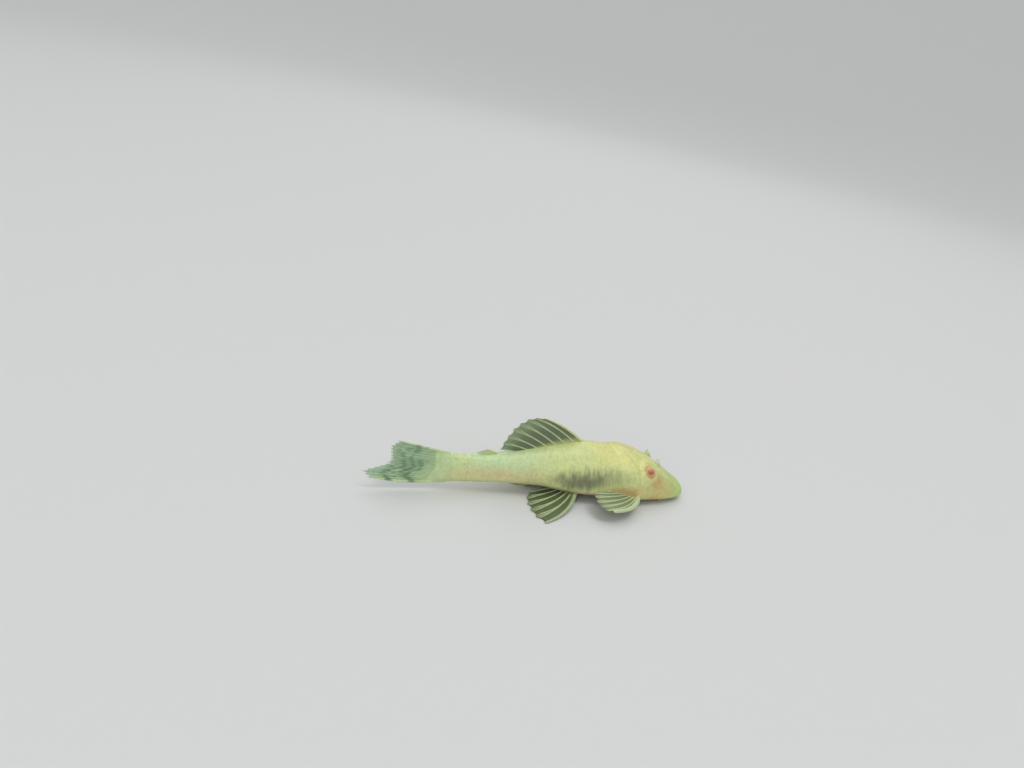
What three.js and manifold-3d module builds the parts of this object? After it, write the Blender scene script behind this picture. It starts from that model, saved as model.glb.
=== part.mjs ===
// A young bristlenose catfish resting on its belly, life size, as a still museum model.
// Millimetres, +X towards the snout, +Y to the fish's left, +Z up.
// Origin: on the floor, under the middle of the fish's whole length and width.
//
// Every body measure is written in per cent of standard length (snout to the root of the tail fin),
// as such fishes are measured: s runs back from the snout, y is half-breadth, z is height above the floor.
import * as THREE from "three";
import { mergeVertices } from "three/addons/utils/BufferGeometryUtils.js";
import Module from "manifold-3d";

const wasm = await Module();
wasm.setup();

// ---- driving dimensions ----
const STANDARD_LENGTH = 70; // mm, snout tip to tail-fin root
const U = STANDARD_LENGTH / 100; // mm for one per cent
const SNOUT = 2.3; // station of the blunt snout's foremost point
const TAIL_TIP = 129.35; // station of the lower tail lobe's tip
const MID = (SNOUT + TAIL_TIP) / 2; // the origin lies under this station
const GAP = 0.3; // mm, clearance where two pieces meet
const AROUND = 30; // facets round the body
const ALONG = 42; // facets along the body

const EYE = { s: 23.45, y: 9.35, z: 11.65, r: 2.9, tall: 0.82 }; // eyeball centre and radius, per cent, and its height over its length
const NOSTRIL = { s: 16.2, y: 4.0, high: 1.6 };
const GILL_TOP = 33.5; // the head's rear edge at the nape
const GILL_FOOT = 25.5; // and at the belly
const VENT = 61; // where trunk becomes tail
const TAIL_ROOT = 99.4; // the tail fin is fixed on here
const END = 106; // the body's net is drawn past that, and cut
const SPINE_R = 0.62; // mm, radius of a fin's leading spine at its root
const FIN_T = 0.52; // mm, fin web thickness

// ---- body profile: station, back, belly, half-breadth, height of the widest level, upper and lower fullness ----
const STATIONS = [
  [2.3, 3.0, 2.2, 0.0, 2.6, 2.0, 2.0],
  [2.9, 4.6, 1.1, 4.4, 2.6, 2.1, 2.4],
  [4.4, 6.0, 0.8, 7.3, 2.7, 2.15, 2.8],
  [8, 8.1, 0.8, 10.0, 2.9, 2.15, 3.0],
  [13, 11.2, 1.0, 11.8, 3.3, 2.2, 3.2],
  [19, 14.5, 1.0, 12.9, 3.9, 2.2, 3.3],
  [26, 17.2, 1.2, 13.9, 4.5, 2.15, 3.2],
  [31, 18.5, 1.7, 14.3, 4.9, 2.05, 3.1],
  [36, 18.6, 2.1, 13.8, 5.2, 1.95, 3.0],
  [48.5, 19.8, 2.1, 11.9, 5.6, 1.8, 3.0],
  [57, 18.4, 2.2, 9.6, 6.3, 1.8, 2.7],
  [66, 16.75, 3.2, 7.2, 7.4, 1.9, 2.4],
  [76, 15.0, 3.3, 5.3, 7.9, 2.0, 2.3],
  [88, 13.5, 3.1, 3.6, 8.1, 2.1, 2.3],
  [95, 13.6, 3.05, 2.7, 8.3, 2.2, 2.3],
  [100.5, 14.2, 2.8, 2.0, 8.5, 2.2, 2.3],
];

// Shape-preserving cubic through one column of STATIONS, in the square root of the distance from the snout, so that the snout is round.
function column(k) {
  const x = STATIONS.map((r) => Math.sqrt(r[0] - SNOUT));
  const y = STATIONS.map((r) => r[k]);
  const n = x.length;
  const h = [], d = [], m = new Array(n).fill(0);
  for (let i = 0; i < n - 1; i++) {
    h.push(x[i + 1] - x[i]);
    d.push((y[i + 1] - y[i]) / h[i]);
  }
  m[0] = d[0];
  m[n - 1] = d[n - 2];
  for (let i = 1; i < n - 1; i++)
    if (d[i - 1] * d[i] > 0) {
      const a = 2 * h[i] + h[i - 1], b = h[i] + 2 * h[i - 1];
      m[i] = (a + b) / (a / d[i - 1] + b / d[i]);
    }
  return (s) => {
    const q = Math.sqrt(Math.min(Math.max(s, SNOUT), 100.5) - SNOUT);
    let i = 0;
    while (i < n - 2 && q > x[i + 1]) i++;
    const t = (q - x[i]) / h[i];
    return (
      (1 + 2 * t) * (1 - t) ** 2 * y[i] + t * (1 - t) ** 2 * h[i] * m[i] +
      t * t * (3 - 2 * t) * y[i + 1] + t * t * (t - 1) * h[i] * m[i + 1]
    );
  };
}
const back = column(1), belly = column(2), half = column(3), level = column(4);
const fullUp = column(5), fullDown = column(6);

const P = (s, y, z) => new THREE.Vector3((MID - s) * U, y * U, z * U);
const lerp = (a, b, t) => a + (b - a) * t;
const bell = (d, w) => Math.exp(-(d * d) / (w * w));
// a smooth walk along a short row of places, t from 0 to 1
const along = (rows, t) => {
  const q = THREE.MathUtils.clamp(t, 0, 1) * (rows.length - 1);
  const i = Math.min(Math.floor(q), rows.length - 2);
  return rows[i].map((v, k) => lerp(v, rows[i + 1][k], q - i));
};

// A point of the body's skin at station s, angle a round the section (0 = left side, 90 degrees = back), grown by g mm.
function skin(s, a, g = 0) {
  const c = Math.cos(a), w = Math.sin(a);
  const up = w >= 0, n = up ? fullUp(s) : fullDown(s);
  const far = up ? back(s) - level(s) : level(s) - belly(s);
  let y = Math.sign(c) * Math.abs(c) ** (2 / n) * half(s);
  let z = level(s) + Math.sign(w) * Math.abs(w) ** (2 / n) * far;
  // the eye socket's raised rim, and the hollow of the cheek below it
  const side = Math.sign(c) || 1;
  const away = Math.hypot(s - EYE.s, Math.abs(y) - EYE.y, z - EYE.z);
  const rim = 0.6 * bell(away - 3.9, 1.1);
  y += side * rim * 0.55;
  z += rim * 0.8;
  z -= 1.1 * bell(s - 34.9, 1.7) * Math.max(0, w) ** 4; // the nape's dip behind the skull
  const p = P(s, y, z);
  if (g) {
    const o = P(s, 0, level(s));
    p.add(p.clone().sub(o).normalize().multiplyScalar(g));
  }
  return p;
}

// ---- solids ----
function solid(geometry) {
  const g = geometry.clone();
  g.deleteAttribute("normal");
  g.deleteAttribute("uv");
  const m = mergeVertices(g, 1e-4);
  const s = new wasm.Manifold(
    new wasm.Mesh({
      numProp: 3,
      vertProperties: new Float32Array(m.attributes.position.array),
      triVerts: new Uint32Array(m.index.array),
    }),
  );
  if (s.volume() >= 0) return s;
  const i = m.index.array;
  for (let k = 0; k < i.length; k += 3) [i[k + 1], i[k + 2]] = [i[k + 2], i[k + 1]];
  return new wasm.Manifold(
    new wasm.Mesh({
      numProp: 3,
      vertProperties: new Float32Array(m.attributes.position.array),
      triVerts: new Uint32Array(i),
    }),
  );
}
function moved(geometry, f) {
  const p = geometry.attributes.position;
  const v = new THREE.Vector3();
  for (let i = 0; i < p.count; i++) {
    v.fromBufferAttribute(p, i);
    const q = f(v);
    p.setXYZ(i, q.x, q.y, q.z);
  }
  return geometry;
}

// The whole body: a sphere's net, drawn out along the fish, its poles at the snout and the tail root.
function body(g = 0) {
  return solid(
    moved(new THREE.SphereGeometry(1, AROUND, ALONG), (v) => {
      const t = Math.acos(THREE.MathUtils.clamp(v.y, -1, 1)) / Math.PI;
      const a = Math.atan2(v.z, -v.x);
      const s = SNOUT + (END - SNOUT) * (0.45 * t + 0.55 * t * t);
      if (t < 1e-3) return P(SNOUT - g / U, 0, 2.6);
      if (t > 0.999) return P(END + g / U, 0, 8.4);
      return skin(s, a, g);
    }),
  );
}

// A tapering rod along a curve: a sphere's net again.
function rod(points, r0, r1, around = 8, along = 12) {
  const curve = new THREE.CatmullRomCurve3(points);
  const frames = curve.computeFrenetFrames(200, false);
  return solid(
    moved(new THREE.SphereGeometry(1, around, along), (v) => {
      const t = Math.acos(THREE.MathUtils.clamp(v.y, -1, 1)) / Math.PI;
      const c = curve.getPointAt(t);
      if (t < 1e-3 || t > 0.999) return c;
      const a = Math.atan2(v.z, -v.x), k = Math.round(t * 200);
      const r = lerp(r0, r1, t) * Math.min(1, Math.sqrt(Math.min(t, 1 - t) * 14));
      return c
        .addScaledVector(frames.normals[k], r * Math.cos(a))
        .addScaledVector(frames.binormals[k], r * Math.sin(a));
    }),
  );
}

// A fin web over a fan of rays: ray(i, v) gives the mid-line of ray i at v (0 root, 1 tip); the web thins between rays and its edge is scalloped.
function web({ rays, ray, normal, rows = 6, sub = 2, thick = FIN_T, ridge = 0.3, scallop = 0.05 }) {
  const cols = (rays - 1) * sub;
  return solid(
    moved(new THREE.BoxGeometry(1, 1, 1, cols, rows, 1), (v) => {
      const u = (v.x + 0.5) * (rays - 1);
      const i = Math.min(Math.floor(u + 1e-6), rays - 2), f = u - i;
      const between = Math.sin(Math.PI * THREE.MathUtils.clamp(f, 0, 1));
      const q = (v.y + 0.5) * (1 - scallop * between * (v.y + 0.5));
      const p = ray(i, q).lerp(ray(i + 1, q), f);
      const t = (thick + ridge * (1 - between) * (1 - 0.55 * q)) / 2;
      return p.addScaledVector(normal, Math.sign(v.z) * t);
    }),
  );
}
// A ray that leaves its root straight and bows by b (a vector, in mm) on the way to its tip.
const bowed = (a, b, bow) => (v) =>
  a.clone().lerp(b, v).addScaledVector(bow, 4 * v * (1 - v));

function box(x0, x1, y0, y1, z0, z1) {
  const g = new THREE.BoxGeometry(x1 - x0, y1 - y0, z1 - z0);
  g.translate((x0 + x1) / 2, (y0 + y1) / 2, (z0 + z1) / 2);
  return solid(g);
}
// Everything behind a plane that leans from the station top (at z = 18) to the station foot (at z = 0), moved back by d mm.
function behind(top, foot, d = 0) {
  const g = new THREE.BoxGeometry(120, 80, 80);
  g.translate(-60, 0, 0);
  const x0 = (MID - foot) * U, x1 = (MID - top) * U;
  g.rotateY(-Math.atan2(x0 - x1, 18 * U));
  g.translate(x0 - d, 0, 0);
  return solid(g);
}
const floorBox = box(-80, 80, -60, 60, -30, 0);
const keepAbove = (s) => s.subtract(floorBox);

const whole = body();
const grown = body(GAP);

// ---- head, trunk and tail ----
const eyes = { r: -1, l: 1 };
const eyeSolid = (side, grow = 0) => {
  const r = EYE.r * U + grow;
  const g = new THREE.SphereGeometry(1, 16, 10);
  g.scale(r, r, EYE.r * U * EYE.tall + grow);
  g.rotateX(side * 0.6435);
  const c = P(EYE.s, side * EYE.y, EYE.z);
  g.translate(c.x, c.y, c.z);
  return solid(g);
};
let head = whole.subtract(behind(GILL_TOP, GILL_FOOT));
for (const side of Object.values(eyes)) {
  // the skin flap that stands between the two openings of each nostril
  const root = P(NOSTRIL.s - 0.3, side * NOSTRIL.y, back(NOSTRIL.s) - 2.6);
  const tip = P(NOSTRIL.s + 0.5, side * (NOSTRIL.y + 0.2), back(NOSTRIL.s) + NOSTRIL.high);
  head = head.add(rod([root, root.clone().lerp(tip, 0.5), tip], 0.95, 0.4, 8, 7));
  head = head.subtract(eyeSolid(side, GAP));
}
// the mouth disc, or with grow the shallow bed it lies in
const MOUTH = 10.6; // station of its middle
const disc = (grow, deep) =>
  solid(
    moved(new THREE.SphereGeometry(1, 30, 12), (v) => {
      const along = v.x, across = v.z;
      return P(
        MOUTH - along * (5.6 + grow / U),
        across * (6.9 + grow / U) * (1 - 0.1 * along),
        0.15 + v.y * (deep + grow / U),
      );
    }),
  );
head = keepAbove(head.subtract(disc(GAP, 1.75)));

const trunk = keepAbove(
  whole.intersect(behind(GILL_TOP, GILL_FOOT, GAP)).subtract(behind(VENT + 1, VENT)),
);
const tail = keepAbove(
  whole.intersect(behind(VENT + 1, VENT, GAP)).subtract(box(-80, (MID - TAIL_ROOT) * U, -20, 20, -5, 30)),
);

// ---- mouth: the round sucker under the snout, with its small opening and a barbel at each corner ----
let mouth = disc(0, 1.55);
mouth = mouth.subtract(
  solid(
    moved(new THREE.SphereGeometry(1, 18, 8), (v) =>
      P(MOUTH - 1.2 - v.x * 1.7, v.z * 3.3, -0.1 + v.y * 1.0),
    ),
  ),
);
for (const side of [-1, 1]) {
  const a = P(MOUTH + 0.4, side * 6.2, 0.55), b = P(MOUTH + 3.2, side * 8.6, 0.55), c = P(MOUTH + 5.2, side * 9.9, 0.6);
  mouth = mouth.add(rod([a, b, c], 0.42, 0.3, 6, 8).subtract(grown));
}
mouth = keepAbove(mouth);

// ---- median fins, standing in the plane of symmetry ----
const Y = new THREE.Vector3(0, 1, 0);
const flat = new THREE.Vector3(0, 0, 0);

// dorsal: a spine and seven soft rays, laid back as in a resting fish
const DORSAL = {
  rays: 8, first: 47.4, last: 71.7,
  tips: [[65.7, 28.3], [69.3, 28.5], [72.4, 27.8], [75.1, 26.1], [77.2, 23.7], [78.7, 21.0], [79.8, 18.2], [80.6, 15.6]],
};
const dorsalTip = (k) => P(DORSAL.tips[k][0], 0, DORSAL.tips[k][1]);
const dorsalRay = (k) => {
  const s = lerp(DORSAL.first, DORSAL.last, k / (DORSAL.rays - 1));
  const bow = new THREE.Vector3(0.3, 0, 0.7).multiplyScalar(1 - k / 8);
  return bowed(P(s, 0, back(s) - 1.6), dorsalTip(k), bow);
};
let dorsal = web({ rays: DORSAL.rays, ray: (k, v) => dorsalRay(k)(v), normal: Y, rows: 5, sub: 2, scallop: 0.03 });
dorsal = dorsal
  .add(rod([0, 0.5, 1].map((v) => dorsalRay(0)(v)), SPINE_R, 0.3))
  .subtract(grown);

// adipose: one short stout spine with a web behind it
const adiposeRay = (k) =>
  k === 0
    ? bowed(P(80.2, 0, back(80.2) - 1.2), P(85.6, 0, 15.6), new THREE.Vector3(0, 0, 0.2))
    : bowed(P(83.8 + 2.2 * (k - 1), 0, back(85) - 1.2), P(87.6 + 1.8 * (k - 1), 0, 15.0 - 0.6 * (k - 1)), flat);
let adipose = web({ rays: 3, ray: (k, v) => adiposeRay(k)(v), normal: Y, rows: 3, sub: 2, scallop: 0.03 });
adipose = adipose
  .add(rod([0, 0.5, 1].map((v) => adiposeRay(0)(v)), 0.5, 0.3, 8, 8))
  .subtract(grown);

// anal: short, folded back along the underside of the tail
const analRay = (k) => {
  const t = k / 4;
  return bowed(P(lerp(61.6, 66.4, t), 0, 4), P(lerp(71.0, 74.6, t), 0, lerp(1.6, 2.3, t)), new THREE.Vector3(0, 0, -0.5));
};
let anal = web({ rays: 5, ray: (k, v) => analRay(k)(v), normal: Y, rows: 5, sub: 2, scallop: 0.04 })
  .add(rod([0, 0.5, 1].map((v) => analRay(0)(v)), 0.42, 0.28, 8, 8))
  .subtract(grown);
anal = keepAbove(anal);

// caudal: sixteen rays, the lower lobe longer, half folded
const CAUDAL = {
  rays: 16, root: 99.9,
  tips: [[118.5, 17.9], [120.9, 15.9], [120.6, 13.4], [120.2, 11.2], [121.1, 9.5], [124.7, 8.3], [129.6, 6.8], [127.1, 4.3]],
};
const caudalTip = (t) => {
  const [s, z] = along(CAUDAL.tips, t);
  return P(s, 0, z);
};
const caudalRay = (k) => {
  const t = k / (CAUDAL.rays - 1);
  const bow = new THREE.Vector3(0, 0, lerp(-0.05, -0.6, t));
  return bowed(P(CAUDAL.root - 0.9, 0, lerp(13.6, 3.1, t)), caudalTip(t), bow);
};
const tailRoot = box((MID - TAIL_ROOT) * U - GAP, 60, -20, 20, -5, 30);
let caudal = web({ rays: CAUDAL.rays, ray: (k, v) => caudalRay(k)(v), normal: Y, rows: 5, sub: 1, ridge: 0.1, scallop: 0.02 });
for (const k of [0, CAUDAL.rays - 1])
  caudal = caudal.add(rod([0, 0.33, 0.66, 1].map((v) => caudalRay(k)(v)), 0.62, 0.3, 8, 12));
// the fleshy root of the tail fin tapers from the peduncle into the rays
const fleshy = solid(
  moved(new THREE.SphereGeometry(1, 20, 10), (v) =>
    P(99.2 - v.x * 5.2, v.z * 2.0, 8.4 + v.y * 5.6),
  ),
);
caudal = caudal.add(fleshy).subtract(tailRoot);
caudal = keepAbove(caudal);

// ---- paired fins ----
// pectoral: a curved spine and six rays, held out and back, just clear of the floor
const PECTORAL = {
  tips: [[45.2, 26.4, 4.9], [47.9, 25.7, 5.2], [49.4, 23.5, 5.6], [49.7, 20.7, 6.1], [49.2, 17.9, 6.6], [47.9, 15.7, 7.0], [45.6, 14.3, 7.0]],
};
function pectoral(side) {
  const root = (t) => P(lerp(27.9, 31.2, t), side * lerp(13.2, 12.4, t), lerp(4.2, 4.6, t));
  const tip = (t) => {
    const [s, y, z] = along(PECTORAL.tips, t);
    return P(s, side * y, z);
  };
  const out = (t) => new THREE.Vector3(1.4 * U, side * 2.4 * U, -0.25 * U).multiplyScalar(1 - t);
  const ray = (k) => bowed(root(k / 6), tip(k / 6), out(k / 6));
  return web({ rays: 7, ray: (k, v) => ray(k)(v), normal: new THREE.Vector3(0, side * 0.14, 1).normalize(), rows: 5, sub: 2, scallop: 0.025 })
    .add(rod([0, 0.25, 0.5, 0.75, 1].map((v) => ray(0)(v)), 0.8, 0.42, 8, 14))
    .subtract(grown)
    .subtract(disc(GAP, 1.75));
}
// pelvic: a spine and five rays, spread on the floor; its under side is cut flat there
const PELVIC = {
  tips: [[70.7, 25.2, 0.4], [72.3, 20.9, 0.4], [72.3, 16.2, 0.4], [71.6, 11.6, 0.4], [70.0, 7.0, 0.4], [67.0, 2.6, 0.45]],
};
function pelvic(side) {
  const root = (t) => P(lerp(50.2, 54.6, t), side * lerp(6.4, 3.4, t), lerp(3.3, 2.7, t));
  const tip = (t) => {
    const [s, y, z] = along(PELVIC.tips, t);
    return P(s, side * y, z);
  };
  const out = (t) => new THREE.Vector3(1.5 * U, side * 2.1 * U, -0.35).multiplyScalar(1 - t);
  const ray = (k) => bowed(root(k / 5), tip(k / 5), out(k / 5));
  const f = web({ rays: 6, ray: (k, v) => ray(k)(v), normal: new THREE.Vector3(0, 0, 1), rows: 5, sub: 2, scallop: 0.025 })
    .add(rod([0, 0.25, 0.5, 0.75, 1].map((v) => ray(0)(v)), 0.75, 0.4, 8, 14))
    .subtract(grown);
  // a web never reaches across the middle line
  return keepAbove(f).subtract(side > 0 ? box(-60, 60, -40, 0.35, -5, 30) : box(-60, 60, -0.35, 40, -5, 30));
}

// ---- the scene graph ----
const SKIN = { color: 0xcfd494, roughness: 0.5, metalness: 0 };
const FIN = { color: 0x9fb088, roughness: 0.45, metalness: 0 };
const LIP = { color: 0xd8b79a, roughness: 0.5, metalness: 0 };
const IRIS = { color: 0xc4604a, roughness: 0.12, metalness: 0 };
function mesh(name, s, look) {
  const bodies = s.simplify(0.03).decompose().sort((a, b) => b.volume() - a.volume());
  const m = bodies[0].getMesh();
  const n = m.numProp, count = m.vertProperties.length / n;
  const v = new Float32Array(count * 3);
  for (let i = 0; i < count; i++) v.set(m.vertProperties.subarray(i * n, i * n + 3), i * 3);
  const g = new THREE.BufferGeometry();
  g.setAttribute("position", new THREE.BufferAttribute(v, 3));
  g.setIndex(new THREE.BufferAttribute(new Uint32Array(m.triVerts), 1));
  g.computeVertexNormals();
  const out = new THREE.Mesh(g, new THREE.MeshStandardMaterial(look));
  out.name = name;
  return out;
}

const fish = new THREE.Group();
const front = new THREE.Group();
front.add(mesh("head", head, SKIN), mesh("mouth", mouth, LIP));
for (const [name, side] of Object.entries(eyes)) front.add(mesh("eye_" + name, eyeSolid(side), IRIS));
fish.add(front);
fish.add(mesh("trunk", trunk, SKIN), mesh("tail", tail, SKIN));
fish.add(mesh("dorsal_fin", dorsal, FIN), mesh("adipose_fin", adipose, FIN));
fish.add(mesh("anal_fin", anal, FIN), mesh("caudal_fin", caudal, FIN));
for (const [name, side] of Object.entries(eyes)) {
  fish.add(mesh("pectoral_fin_" + name, pectoral(side), FIN));
  fish.add(mesh("pelvic_fin_" + name, pelvic(side), FIN));
}
export default fish;
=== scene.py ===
import math
import bpy
import numpy as np
from mathutils import Matrix, Vector


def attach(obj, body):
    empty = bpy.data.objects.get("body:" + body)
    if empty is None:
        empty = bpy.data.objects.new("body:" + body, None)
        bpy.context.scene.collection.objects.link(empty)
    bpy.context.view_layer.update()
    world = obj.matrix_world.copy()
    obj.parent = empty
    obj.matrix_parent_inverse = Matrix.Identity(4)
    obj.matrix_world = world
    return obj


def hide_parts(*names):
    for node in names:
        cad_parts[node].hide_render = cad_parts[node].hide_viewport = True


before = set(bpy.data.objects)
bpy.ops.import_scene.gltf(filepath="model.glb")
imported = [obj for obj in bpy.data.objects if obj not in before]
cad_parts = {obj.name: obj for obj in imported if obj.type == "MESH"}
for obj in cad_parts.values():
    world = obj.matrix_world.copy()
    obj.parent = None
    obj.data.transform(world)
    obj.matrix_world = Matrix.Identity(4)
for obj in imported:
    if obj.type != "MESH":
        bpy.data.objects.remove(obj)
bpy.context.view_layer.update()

RNG = np.random.default_rng(7)  # the small spines' places, always the same

# Lengths are millimetres until a mesh is made; body measures are per cent of standard length:
# s back from the snout, y to the fish's left, z up from the floor.
U = 0.7
SNOUT, TAIL_TIP = 2.3, 129.35
MID = (SNOUT + TAIL_TIP) / 2
EYE = dict(s=23.45, y=9.35, z=11.65, r=2.9, tall=0.82)
SIDES = {"r": -1.0, "l": 1.0}


# ------------------------------------------------------------------ camera
def look():
    cam = bpy.data.objects.new("camera", bpy.data.cameras.new("camera"))
    bpy.context.scene.collection.objects.link(cam)
    bpy.context.scene.camera = cam
    cam.data.sensor_width = 36
    cam.data.lens = 36 * 1000 / 1024
    cam.data.clip_start = 0.005
    right = Vector((0.9022, -0.3797, 0.2046)).normalized()
    up = Vector((-0.0497, 0.3797, 0.9238))
    up = (up - right * up.dot(right)).normalized()
    back = right.cross(up)
    m = Matrix((right, up, back)).transposed().to_4x4()
    c = (-228.31, -288.98, 151.26)
    m.translation = Vector(((MID + c[0]) * U, c[1] * U, c[2] * U)) / 1000
    cam.matrix_world = m
look()


# ------------------------------------------------------------------ helpers
def lin(rgb):
    c = np.asarray(rgb, float) / 255
    return np.where(c <= 0.04045, c / 12.92, ((c + 0.055) / 1.055) ** 2.4)


def smooth(x, lo, hi):
    t = np.clip((x - lo) / (hi - lo), 0, 1)
    return t * t * (3 - 2 * t)


def bell(d, w):
    return np.exp(-(d / w) ** 2)


def P(s, y, z):
    s, y, z = np.broadcast_arrays(np.asarray(s, float), y, z)
    return np.stack([(MID - s) * U, y * U, z * U], -1)


def hash01(i, j, k, seed=0):
    h = (i * 374761393 + j * 668265263 + k * 2147483647 + seed * 974711) & 0xFFFFFFFF
    h = ((h ^ (h >> 13)) * 1274126177) & 0xFFFFFFFF
    h = ((h ^ (h >> 16)) * 2246822519) & 0xFFFFFFFF
    return ((h ^ (h >> 15)) & 0xFFFFFF) / float(0xFFFFFF)


def noise(x, y, z, seed=0):
    """Smooth value noise, 0 to 1."""
    x, y, z = np.broadcast_arrays(*[np.asarray(q, float) for q in (x, y, z)])
    i, j, k = (np.floor(q).astype(np.int64) for q in (x, y, z))
    fx, fy, fz = x - i, y - j, z - k
    fx, fy, fz = (f * f * (3 - 2 * f) for f in (fx, fy, fz))
    out = 0
    for a in (0, 1):
        for b in (0, 1):
            for c in (0, 1):
                w = (fx if a else 1 - fx) * (fy if b else 1 - fy) * (fz if c else 1 - fz)
                out = out + w * hash01(i + a, j + b, k + c, seed)
    return out


def add_mesh(name, V, quads=(), tris=(), polys=(), material=None, tone=None, uv=None, slot="skin", nodes=(), flat=False):
    """One mesh of V (mm) and faces, with a colour per vertex and, for a coat, the bake map."""
    me = bpy.data.meshes.new(name)
    faces = [tuple(f) for f in np.asarray(quads, int).reshape(-1, 4).tolist()]
    faces += [tuple(f) for f in np.asarray(tris, int).reshape(-1, 3).tolist()]
    faces += [tuple(p) for p in polys]
    me.from_pydata((np.asarray(V) / 1000).tolist(), [], faces)
    me.polygons.foreach_set("use_smooth", np.full(len(me.polygons), not flat))
    if tone is not None:
        t = me.attributes.new("tone", "FLOAT_COLOR", "POINT")
        t.data.foreach_set("color", np.concatenate([np.asarray(tone), np.ones((len(V), 1))], 1).ravel())
    if uv is not None:
        layer = me.uv_layers.new(name="OFBake")
        idx = np.empty(len(me.loops), np.int64)
        me.loops.foreach_get("vertex_index", idx)
        layer.data.foreach_set("uv", np.asarray(uv)[idx].astype(np.float32).ravel())
    me.validate()
    me.update()
    ob = bpy.data.objects.new(name, me)
    bpy.context.scene.collection.objects.link(ob)
    if material:
        me.materials.append(material)
    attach(ob, "root")
    if nodes:
        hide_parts(*nodes)
    return ob


class Pile:
    """Gathers many small meshes into one."""

    def __init__(self):
        self.V, self.Q, self.T, self.C, self.W, self.n, self.N = [], [], [], [], [], 0, []

    def add(self, V, quads=None, tris=None, tone=None, uv=None, polys=()):
        V = np.asarray(V, float).reshape(-1, 3)
        if quads is not None and len(quads):
            self.Q.append(np.asarray(quads) + self.n)
        if tris is not None and len(tris):
            self.T.append(np.asarray(tris) + self.n)
        for p in polys:
            self.N.append([q + self.n for q in p])
        self.V.append(V)
        if tone is not None:
            self.C.append(np.broadcast_to(np.asarray(tone, float), V.shape))
        if uv is not None:
            self.W.append(np.broadcast_to(np.asarray(uv, float), (len(V), 2)))
        self.n += len(V)

    def make(self, name, **kw):
        return add_mesh(
            name, np.concatenate(self.V),
            quads=np.concatenate(self.Q) if self.Q else (),
            tris=np.concatenate(self.T) if self.T else (), polys=self.N,
            tone=np.concatenate(self.C) if self.C else None,
            uv=np.concatenate(self.W) if self.W else None, **kw)


def grid_quads(n, m, wrap=False, flip=False):
    """Quads of an n by m grid, closed round the second way if wrap."""
    i, j = np.meshgrid(np.arange(n - 1), np.arange(m if wrap else m - 1), indexing="ij")
    k = (j + 1) % m
    q = np.stack([i * m + j, (i + 1) * m + j, (i + 1) * m + k, i * m + k], -1).reshape(-1, 4)
    return q[:, ::-1] if flip else q


def tube(points, radii, sides=6, normal=(0, 1, 0), squash=1.0):
    """A closed tapering tube along points; normal is the way its flat side faces."""
    p = np.asarray(points, float)
    r = np.broadcast_to(np.asarray(radii, float), (len(p),))
    t = np.gradient(p, axis=0)
    t /= np.linalg.norm(t, axis=1, keepdims=True) + 1e-12
    nrm = np.broadcast_to(np.asarray(normal, float), p.shape)
    b = np.cross(t, nrm)
    b /= np.linalg.norm(b, axis=1, keepdims=True) + 1e-12
    nn = np.cross(b, t)
    a = np.arange(sides) / sides * 2 * np.pi
    ring = np.cos(a)[None, :, None] * b[:, None] + np.sin(a)[None, :, None] * nn[:, None] * squash
    V = (p[:, None] + ring * r[:, None, None]).reshape(-1, 3)
    caps = [list(range(sides)), list(range((len(p) - 1) * sides, len(p) * sides))[::-1]]
    return V, grid_quads(len(p), sides, wrap=True), caps


# ------------------------------------------------------------------ the body's shape
STATIONS = np.array([
    [2.3, 3.0, 2.2, 0.0, 2.6, 2.0, 2.0],
    [2.9, 4.6, 1.1, 4.4, 2.6, 2.1, 2.4],
    [4.4, 6.0, 0.8, 7.3, 2.7, 2.15, 2.8],
    [8, 8.1, 0.8, 10.0, 2.9, 2.15, 3.0],
    [13, 11.2, 1.0, 11.8, 3.3, 2.2, 3.2],
    [19, 14.5, 1.0, 12.9, 3.9, 2.2, 3.3],
    [26, 17.2, 1.2, 13.9, 4.5, 2.15, 3.2],
    [31, 18.5, 1.7, 14.3, 4.9, 2.05, 3.1],
    [36, 18.6, 2.1, 13.8, 5.2, 1.95, 3.0],
    [48.5, 19.8, 2.1, 11.9, 5.6, 1.8, 3.0],
    [57, 18.4, 2.2, 9.6, 6.3, 1.8, 2.7],
    [66, 16.75, 3.2, 7.2, 7.4, 1.9, 2.4],
    [76, 15.0, 3.3, 5.3, 7.9, 2.0, 2.3],
    [88, 13.5, 3.1, 3.6, 8.1, 2.1, 2.3],
    [95, 13.6, 3.05, 2.7, 8.3, 2.2, 2.3],
    [100.5, 14.2, 2.8, 2.0, 8.5, 2.2, 2.3],
    # past the tail root the skin thins out over the fin rays
    [103, 14.6, 2.9, 0.85, 8.7, 2.2, 2.3],
    [105.4, 14.9, 3.0, 0.13, 8.8, 2.2, 2.3],
])


def column(k):
    x, y = np.sqrt(STATIONS[:, 0] - SNOUT), STATIONS[:, k]
    h = np.diff(x)
    d = np.diff(y) / h
    m = np.zeros(len(x))
    m[0], m[-1] = d[0], d[-1]
    for i in range(1, len(x) - 1):
        if d[i - 1] * d[i] > 0:
            a, b = 2 * h[i] + h[i - 1], h[i] + 2 * h[i - 1]
            m[i] = (a + b) / (a / d[i - 1] + b / d[i])

    def f(s):
        q = np.sqrt(np.clip(s, SNOUT, STATIONS[-1, 0]) - SNOUT)
        i = np.clip(np.searchsorted(x, q, side="right") - 1, 0, len(h) - 1)
        t = (q - x[i]) / h[i]
        return ((1 + 2 * t) * (1 - t) ** 2 * y[i] + t * (1 - t) ** 2 * h[i] * m[i]
                + t * t * (3 - 2 * t) * y[i + 1] + t * t * (t - 1) * h[i] * m[i + 1])
    return f


back, belly, half, level, full_up, full_down = (column(k) for k in range(1, 7))


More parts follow.
